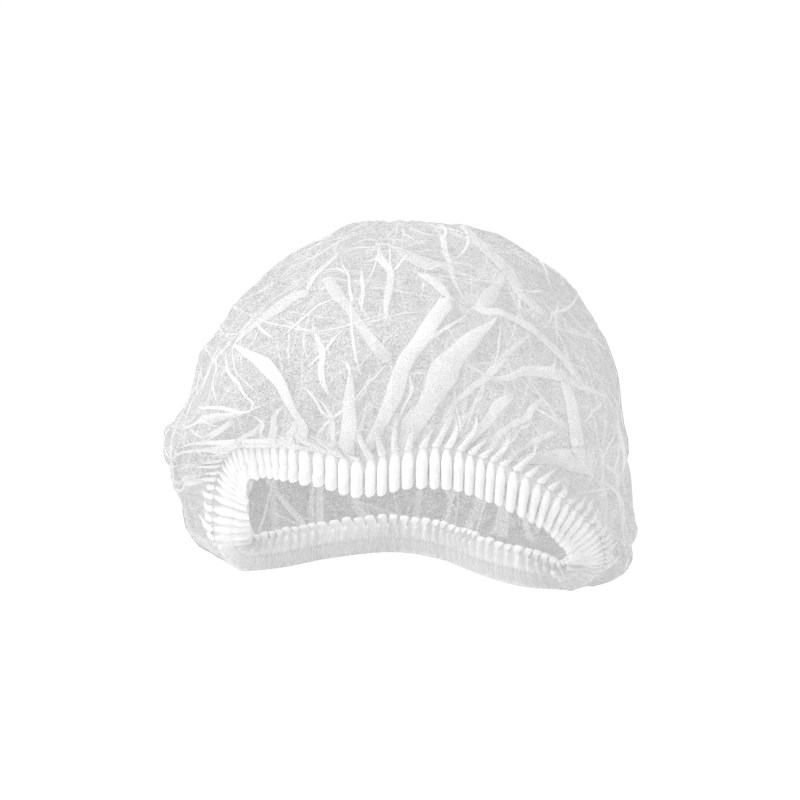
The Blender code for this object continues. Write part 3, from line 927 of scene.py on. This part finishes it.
# %% [markdown]
# ## Flat folds and fingers
#
# Where a pleat lies down, two more layers lie on the dome, joined along both edges of the band. That
# is a flat tube. The same tube, a millimetre or two wide, is a crease. And close to the hem each gather
# runs up into the crown as a white finger that ends in a point, which is once more the same tube. Each
# is carried along its line on the finished crown, so it follows every rise of the fabric.

# %% Flat folds
FOLD_STEPS = 22
FOLD_SIDES = 8
FOLD_LIFT = 0.0003
THINNEST_CREASE = 0.0003
SMOOTH_FROM_MM = 2
FINGER_HEIGHT = (0.010, 0.028)
FINGER_LEAN = 0.004
FINGER_WIDTH = 0.32
FINGER_THICK = 0.0018
FINGER_TIP = 0.0005
foot_levels = np.linspace(0.0, FOOT_LEVEL, FOOT_ROWS)
grid_levels = np.concatenate([foot_levels, np.linspace(FOOT_LEVEL + level_step, 1.0, CROWN_ROWS)])
wide = np.repeat(upper[0], 2, axis=1)
wide[:, 1::2] = (upper[0] + np.roll(upper[0], -1, axis=1)) / 2
crown_grid = np.concatenate([foot[0], wide])
plain, plain_turns, plain_levels = dome_grid(FOOT_COLUMNS, DOME_LEVELS)
plain_outward = outward_ways(plain)
metres_round = np.linalg.norm(np.roll(plain, -1, axis=1) - plain, axis=2) * FOOT_COLUMNS
metres_up = np.linalg.norm(np.gradient(plain, axis=0), axis=2) * DOME_LEVELS


def on_grid(grid, row, share):
    """Read a grid of rings between its rows and columns, by even blending."""
    row = np.clip(row, 0, len(grid) - 1.001)
    column = share % 1.0 * FOOT_COLUMNS
    low_row, low_column = row.astype(int), column.astype(int)
    part_row, part_column = row - low_row, column - low_column
    low_column = low_column % FOOT_COLUMNS
    next_column = (low_column + 1) % FOOT_COLUMNS
    if grid.ndim == 3:
        part_row, part_column = part_row[..., None], part_column[..., None]
    lower, higher = (grid[at_row, low_column] * (1 - part_column) + grid[at_row, next_column] * part_column
                     for at_row in (low_row, low_row + 1))
    return lower * (1 - part_row) + higher * part_row


def share_of_turn(turn):
    """Look up the share of the mouth line's length that lies at a share of the way round the dome."""
    known = np.unwrap(plain_turns * 2 * np.pi) / (2 * np.pi)
    known = np.append(known, known[0] + 1)
    shares = np.linspace(0.0, 1.0, FOOT_COLUMNS + 1)
    return np.interp(known[0] + (turn - known[0]) % 1.0, known, shares)


def fold_edges(lines, half_widths):
    """Step from middle lines to both sides by half a width, at right angles on the fabric.

    The line's step round and up is turned by a quarter, made one metre long, and turned back from
    metres into shares.
    """
    turn, level = lines[..., 0], lines[..., 1]
    share = np.unwrap(share_of_turn(turn) * 2 * np.pi, axis=1) / (2 * np.pi)
    round_scale = np.maximum(on_grid(metres_round, level * DOME_LEVELS, share), 0.02)
    up_scale = on_grid(metres_up, level * DOME_LEVELS, share)
    run_round = np.gradient(share, axis=1) * round_scale
    run_up = np.gradient(level, axis=1) * up_scale
    length = np.hypot(run_round, run_up) + 1e-9
    aside = np.stack([-run_up / length / round_scale, run_round / length / up_scale], axis=-1)
    aside = aside * half_widths[..., None]
    middle = np.stack([share, level], axis=-1)
    return middle - aside, middle + aside


def fold_tubes(left, right, thickness, lift):
    """Carry a flat ring along two edges on the crown: across goes as a cosine, out as a sine.

    The first and last rings shrink to a point, so that the tubes are closed.
    """
    angle = np.arange(FOLD_SIDES) * 2 * np.pi / FOLD_SIDES
    ends = np.ones(FOLD_STEPS)
    ends[[0, -1]] = 0.0
    across = 0.5 + 0.5 * np.cos(angle) * ends[:, None]
    share = left[..., 0, None] * (1 - across) + right[..., 0, None] * across
    level = left[..., 1, None] * (1 - across) + right[..., 1, None] * across
    row = np.interp(level, grid_levels, np.arange(len(grid_levels)))
    outward = on_grid(plain_outward, level * DOME_LEVELS, share)
    out = lift + (0.5 + 0.5 * np.sin(angle)) * ends[:, None] * thickness[..., None]
    place = on_grid(crown_grid, row, share) + outward * out[..., None]
    place[..., 2] = np.maximum(place[..., 2], ABOVE_FLOOR)
    return place


def fingers():
    """Run each gather of the lifted front up the crown, narrowing to a point.

    The width is what is left of the rise to the power 0.8. The level is looked up in the climbed
    length of the finger's own column. The cover falls evenly from three layers to one.
    """
    shares = np.arange(FOOT_COLUMNS) / FOOT_COLUMNS
    phase = gather_phase(shares)
    _, way, _ = mouth_line(FOOT_COLUMNS)
    crest_share = np.interp(np.arange(GATHERS), phase, shares)
    standing = np.interp(crest_share, shares, back_share(way))
    crest_share = crest_share[standing < 0.5]
    dice = np.random.default_rng(12)
    rise = np.linspace(0.0, 1.0, FOLD_STEPS)
    top = dice.uniform(*FINGER_HEIGHT, len(crest_share))[:, None]
    lean = dice.normal(0.0, FINGER_LEAN, len(crest_share))[:, None]
    middle = crest_share[:, None] + lean * rise ** 2
    half = FINGER_WIDTH * (1 - rise) ** 0.8 / GATHERS
    climb = np.concatenate([np.zeros((1, FOOT_COLUMNS)), np.cumsum(metres_up[1:] / DOME_LEVELS, axis=0)])
    columns = np.round(crest_share * FOOT_COLUMNS).astype(int) % FOOT_COLUMNS
    level = np.array([np.interp(high, climb[:, column], plain_levels)
                      for high, column in zip(top * rise, columns)])
    thickness = FINGER_THICK * (1 - rise) + FINGER_TIP
    return (np.stack([middle - half, level], axis=-1), np.stack([middle + half, level], axis=-1),
            np.broadcast_to(thickness, middle.shape), np.broadcast_to(3.0 - 2.0 * rise, middle.shape))


def column_of(rows, number):
    """Take one value of each fold, such as its thickness, as a column to spread along the fold."""
    return np.array([row[number] for row in rows])[:, None]


along_fold = np.linspace(0, 1, FOLD_STEPS)
taper = np.minimum(1.0, 3 * np.minimum(along_fold, np.linspace(1, 0, FOLD_STEPS))) ** 0.7
band_left = np.array([even_path(row[2], FOLD_STEPS) for row in all_bands])
band_right = np.array([even_path(row[3], FOLD_STEPS) for row in all_bands])
for edge in (band_left, band_right):
    edge[..., 0] = share_of_turn(edge[..., 0])
wrapped = (band_right[..., 0] - band_left[..., 0] + 0.5) % 1.0 - 0.5
band_right[..., 0] = band_left[..., 0] + wrapped
band_thick = column_of(all_bands, 0) / MM_PER_METRE * np.ones(FOLD_STEPS)
band_layers = column_of(all_bands, 1) * np.ones(FOLD_STEPS)
crease_lines = np.array([even_path(line, FOLD_STEPS, smooth=width > SMOOTH_FROM_MM)
                         for width, _, line in all_creases])
crease_half = column_of(all_creases, 0) / (2 * MM_PER_METRE) * taper
crease_left, crease_right = fold_edges(crease_lines, crease_half)
crease_thick = np.maximum(0.5 * crease_half, THINNEST_CREASE)
crease_layers = column_of(all_creases, 1) * taper
finger_left, finger_right, finger_thick, finger_layers = fingers()
left, right, thickness, fold_layers = (np.concatenate(parts) for parts in (
    (band_left, crease_left, finger_left), (band_right, crease_right, finger_right),
    (band_thick, crease_thick, finger_thick), (band_layers, crease_layers, finger_layers)))
fold_place = fold_tubes(left, right, thickness, FOLD_LIFT)
print(len(fold_place), "folds laid on the crown")

# %% [markdown]
# All tubes go into one mesh. It could be one object for each fold, but they are one fabric and never
# move apart. Each tube gets its own patch of the flat fabric, so that no two show the same clouds.

# %% The folds' mesh
PATCH_STEP = 0.05
SIDE_STEP = 0.002
ALONG_STEP = 0.004
fold_index = np.arange(fold_place[..., 0].size).reshape(fold_place.shape[:3])
ahead = np.roll(fold_index, -1, axis=2)
fold_faces = np.stack([fold_index[:, :-1], fold_index[:, 1:], ahead[:, 1:], ahead[:, :-1]], axis=-1)
fold_flat = np.zeros((*fold_place.shape[:3], 2))
patch_start = (np.arange(len(fold_place)) * PATCH_STEP)[:, None, None]
fold_flat[..., 0] = patch_start + np.arange(FOLD_SIDES) * SIDE_STEP
fold_flat[..., 1] = (np.arange(FOLD_STEPS) * ALONG_STEP)[:, None]
fold_cover = np.broadcast_to(fold_layers[..., None], fold_place.shape[:3])
folds = sheet_mesh("crown_folds", fold_place.reshape(-1, 3), fold_flat.reshape(-1, 2),
                   fold_cover.reshape(-1), [fold_faces.reshape(-1, 4)])
print("folds:", len(folds.data.polygons) * 2, "triangles")

# %% [markdown]
# ## The gathered hem
#
# The rim of the disc is folded over into a narrow tube, and the elastic draws it in. So the hem is two
# layers with a round free edge, in a section like the letter U, carried along the mouth line. The
# gathers bend the whole section to and fro. Each crest reaches a little further than the valleys, which
# gives the free edge its row of small arches.

# %% The hem
CUT_LENGTH = 2 * np.pi * (DISC_RADIUS + HEM_WIDTH / 2)
HEM_COLUMNS = GATHERS * 22
HEM_ROWS = 44
HEM_HALF_THICK = 0.0018
HEM_LESS_IN_FRONT = 0.0025
HEM_UNEVEN = (-0.0008, 0.0010)
ROUND_START = 0.006
ARCH_FRONT = 0.0010
ARCH_BACK = 0.0018
SWAY_FRONT = 0.0034
SWAY_MORE_AT_BACK = 0.0010
INNER_WALL_DEEPER = 1.8
FINE_WAVE = 0.0008
SEAM_SHARE = 0.45


def hem_points():
    """Return the hem with its flat places and its layers.

    The section is a U: straight up, half a circle, straight down. Its width goes up and down with
    the crests. Each ring of it sways across the hem by a cosine of the gather's phase, more where the
    swell is larger, and slides along it. At the back the crests point the other way, and a wave three
    times as fine lies over them. The cover is highest on the crests in front and above the seam at
    the back. On the front crests that is partly the fabric rolled there and partly painted shade: the
    valleys keep less cover and show the grey behind as shaded gaps between the rolls. A line of
    painted shade lowers the cover in the furrow between the two back strips.
    """
    shares = np.arange(HEM_COLUMNS) / HEM_COLUMNS
    points, way, _ = mouth_line(HEM_COLUMNS)
    standing = back_share(way)
    phase = gather_phase(shares)
    wave = 2 * np.pi * phase
    crest = np.cos(wave)
    arch = ARCH_FRONT * (1 - standing) + ARCH_BACK * standing
    width = HEM_WIDTH - HEM_LESS_IN_FRONT * (1 - standing) + smooth_steps(phase, 6, *HEM_UNEVEN)
    round_top = 1 - (0.5 - 0.5 * crest) ** 2
    width = width + arch * (2 * round_top - 1.4)
    straight = width - HEM_HALF_THICK
    bend = np.pi * HEM_HALF_THICK
    run = np.linspace(0.0, 1.0, HEM_ROWS)[:, None] * (2 * straight + bend)[None, :]
    angle = np.clip((run - straight) / HEM_HALF_THICK, 0.0, np.pi)
    reach = np.where(run < straight, run, 0.0)
    reach = np.where((run >= straight) & (run <= straight + bend),
                     straight + HEM_HALF_THICK * np.sin(angle), reach)
    reach = np.where(run > straight + bend, 2 * straight + bend - run, reach)
    side = HEM_HALF_THICK * np.cos(angle) * np.sqrt(np.clip(reach / ROUND_START, 0.0, 1.0))
    share = reach / HEM_WIDTH
    front_swell = 0.15 + 0.85 * np.clip(share / 0.65, 0.0, 1.0) ** 0.8
    front_swell = front_swell - 0.15 * np.exp(-((share - 0.55) / 0.07) ** 2)
    back_swell = 0.08 + 0.77 * np.clip((share - SEAM_SHARE) * 2.5, 0.0, 1.0)
    swell = front_swell * (1 - standing) + back_swell * standing
    size = smooth_steps(phase, 9, 0.80, 1.10)[None, :]
    deeper = 1 + INNER_WALL_DEEPER * angle / np.pi * (1 - standing)
    sway = (SWAY_FRONT + SWAY_MORE_AT_BACK * standing) * size * swell * deeper
    sway = sway * np.cos(wave + np.pi * standing)[None, :]
    slide = pitch * gather_slide(wave)[None, :] * np.minimum(swell * 1.4, 1.0)
    fine = FINE_WAVE * np.cos(3 * wave)[None, :] * standing * np.clip(share / 0.2, 0.0, 1.0)
    even = np.linalg.norm(np.roll(points, -1, 0) - np.roll(points, 1, 0), axis=1)
    rows = []
    for level in range(HEM_ROWS):
        ring, along, facing = hem_ring(points, way, reach[level][:, None])
        spacing = np.linalg.norm(np.roll(ring, -1, 0) - np.roll(ring, 1, 0), axis=1)
        tight = np.clip(spacing / even, 0.15, 1.0)
        out = (side[level] + (sway[level] + fine[level]) * tight)[:, None]
        rows.append(ring - facing * out + along * (slide[level] * tight)[:, None])
    place = np.array(rows)
    place[..., 2] = np.maximum(place[..., 2], ABOVE_FLOOR)
    high = np.clip((share - SEAM_SHARE) * 8, 0.0, 1.0)
    crested = 0.5 + 0.5 * crest[None, :]
    # Painted shade on the front rolls, partly real: the crests get up to two more layers of cover than the
    # valleys, so the valleys show the grey behind like shaded gaps.
    crest_cover_with_painted_shade = np.clip((crested - 0.75 * (1 - np.clip((share - 0.08) / 0.5, 0.0, 1.0))) / 0.25, 0.0, 1.0)
    front_layers_with_painted_shade = 0.6 + 2.0 * crest_cover_with_painted_shade
    # Painted shade in the furrow between the two back strips: less cover along it lets more grey show
    # through.
    groove_painted_shade = np.exp(-((share - 0.47) / 0.035) ** 2)
    seam_cord = np.exp(-(share / 0.05) ** 2)
    back_layers_with_painted_shade = 1.0 + 2.4 * high + 0.4 * crested - 0.4 * groove_painted_shade + 1.2 * seam_cord
    # So the hem's layers carry painted shade besides the real cover.
    layers = front_layers_with_painted_shade * (1 - standing) + back_layers_with_painted_shade * standing
    flat = np.stack([np.broadcast_to(shares * CUT_LENGTH, reach.shape), run], axis=-1)
    return place + FOOTPRINT_SHIFT, flat, layers


place, flat, layers = hem_points()
hem_index = np.arange(HEM_ROWS * HEM_COLUMNS).reshape(HEM_ROWS, HEM_COLUMNS)
hem = sheet_mesh("hem_ruffle", place.reshape(-1, 3), flat.reshape(-1, 2), layers.reshape(-1),
                 [join_rings(hem_index)])
print("hem:", len(hem.data.polygons) * 2, "triangles")

# %% [markdown]
# ## Fabric
#
# One layer of this fabric covers about a third of what lies behind it. Light that goes through several
# layers is cut by the same share each time, so the cover of n layers is one minus 0.68 to the power n.
# The material does that sum for spots where creases or seams pack layers closer than the mesh shows, and in
# the hem also for the painted shade that its layers carry.
# Fine random fibres make the cover uneven: a small noise for the fibres and a wider one for clouds.

# %% Fabric material
ONE_LAYER_PASSES = 0.68
FIBRE_SCALE = 1600.0
CLOUD_SCALE = 150.0
CLOUD_SHARE = 0.2
LEAST_COVER = 0.1
CROWN_COLOUR = (0.95, 0.95, 0.955)
# The hem is the same fabric as the crown, but its colour is set brighter: painted light that offsets the
# shade in its deep gathers.
HEM_COLOUR_WITH_PAINTED_LIGHT = (0.985, 0.985, 0.985)


def fabric_material(name, colour, grain):
    """Make the see-through fabric.

    The cover is one minus what one layer passes to the power of the layers times the fibres. The
    fibres are one plus the grain times two noises about zero: a fine one on the object's own
    coordinates, and clouds a fifth as strong on the flat fabric.
    """
    material = bpy.data.materials.new(name)
    material.use_nodes = True
    tree = material.node_tree
    shader = tree.nodes["Principled BSDF"]
    shader.inputs["Base Color"].default_value = (*colour, 1.0)
    shader.inputs["Roughness"].default_value = 0.9
    shader.inputs["Specular IOR Level"].default_value = 0.25
    flat_place = add_node(tree, "ShaderNodeUVMap", uv_map="flat")
    fibres = add_node(tree, "ShaderNodeTexNoise", Scale=FIBRE_SCALE, Detail=1.0, Roughness=0.6)
    clouds = add_node(tree, "ShaderNodeTexNoise", Scale=CLOUD_SCALE, Detail=2.0, Roughness=0.5)
    solid_place = tree.nodes.new("ShaderNodeTexCoord")
    tree.links.new(solid_place.outputs["Object"], fibres.inputs["Vector"])
    tree.links.new(flat_place.outputs["UV"], clouds.inputs["Vector"])
    fine = maths(tree, "MULTIPLY", maths(tree, "SUBTRACT", fibres.outputs["Fac"], 0.5), grain)
    wide = maths(tree, "MULTIPLY", maths(tree, "SUBTRACT", clouds.outputs["Fac"], 0.5), grain * CLOUD_SHARE)
    uneven = maths(tree, "ADD", maths(tree, "ADD", fine, wide), 1.0)
    layers = add_node(tree, "ShaderNodeAttribute", attribute_name="layers")
    packed = maths(tree, "MULTIPLY", layers.outputs["Fac"], maths(tree, "MAXIMUM", uneven, LEAST_COVER))
    passes = maths(tree, "POWER", ONE_LAYER_PASSES, packed)
    tree.links.new(maths(tree, "SUBTRACT", 1.0, passes, clamp=True), shader.inputs["Alpha"])
    return material


crown.data.materials.append(fabric_material("crown_cloth", CROWN_COLOUR, grain=7.0))
folds.data.materials.append(fabric_material("folded_cloth", CROWN_COLOUR, grain=3.5))
# The hem's cloth has the brighter colour of painted light, and its layers carry painted shade.
hem.data.materials.append(fabric_material("hem_cloth_painted_light_and_shade", HEM_COLOUR_WITH_PAINTED_LIGHT, grain=0.9))
print("fabric materials made")

# %% [markdown]
# ## Elastic
#
# The elastic is a narrow strip of fine rubber threads. Its shape in the CAD model is right, so only
# its finish is made: a matt white with a fine grain, read from the object's own coordinates.

# %% Elastic material
def elastic_material():
    """Make matt rubber: one fine noise sets both the colour, between two greys, and the bump."""
    material = bpy.data.materials.new("elastic_threads")
    material.use_nodes = True
    tree = material.node_tree
    shader = tree.nodes["Principled BSDF"]
    shader.inputs["Roughness"].default_value = 0.6
    place = tree.nodes.new("ShaderNodeTexCoord")
    grain = add_node(tree, "ShaderNodeTexNoise", Scale=900.0, Detail=2.0)
    tree.links.new(place.outputs["Object"], grain.inputs["Vector"])
    ramp = tree.nodes.new("ShaderNodeValToRGB")
    ramp.color_ramp.elements[0].color = (0.84, 0.84, 0.83, 1.0)
    ramp.color_ramp.elements[1].color = (0.95, 0.95, 0.94, 1.0)
    tree.links.new(grain.outputs["Fac"], ramp.inputs["Fac"])
    tree.links.new(ramp.outputs["Color"], shader.inputs["Base Color"])
    bump = add_node(tree, "ShaderNodeBump", Strength=0.3, Distance=0.0003)
    tree.links.new(grain.outputs["Fac"], bump.inputs["Height"])
    tree.links.new(bump.outputs["Normal"], shader.inputs["Normal"])
    return material


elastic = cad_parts["elastic"]
elastic.data.materials.clear()
elastic.data.materials.append(elastic_material())
print("elastic finished")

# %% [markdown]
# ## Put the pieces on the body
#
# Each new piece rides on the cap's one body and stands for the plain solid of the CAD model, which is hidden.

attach(crown, "root")
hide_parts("crown")
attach(folds, "root")
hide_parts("crown")
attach(hem, "root")
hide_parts("gathered_hem")

# %% Sizes and the end
boxes = {"cad": cad_box, "visual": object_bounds()}
boxes = {name: [[float(x) for x in corner] for corner in box] for name, box in boxes.items()}
print(boxes)
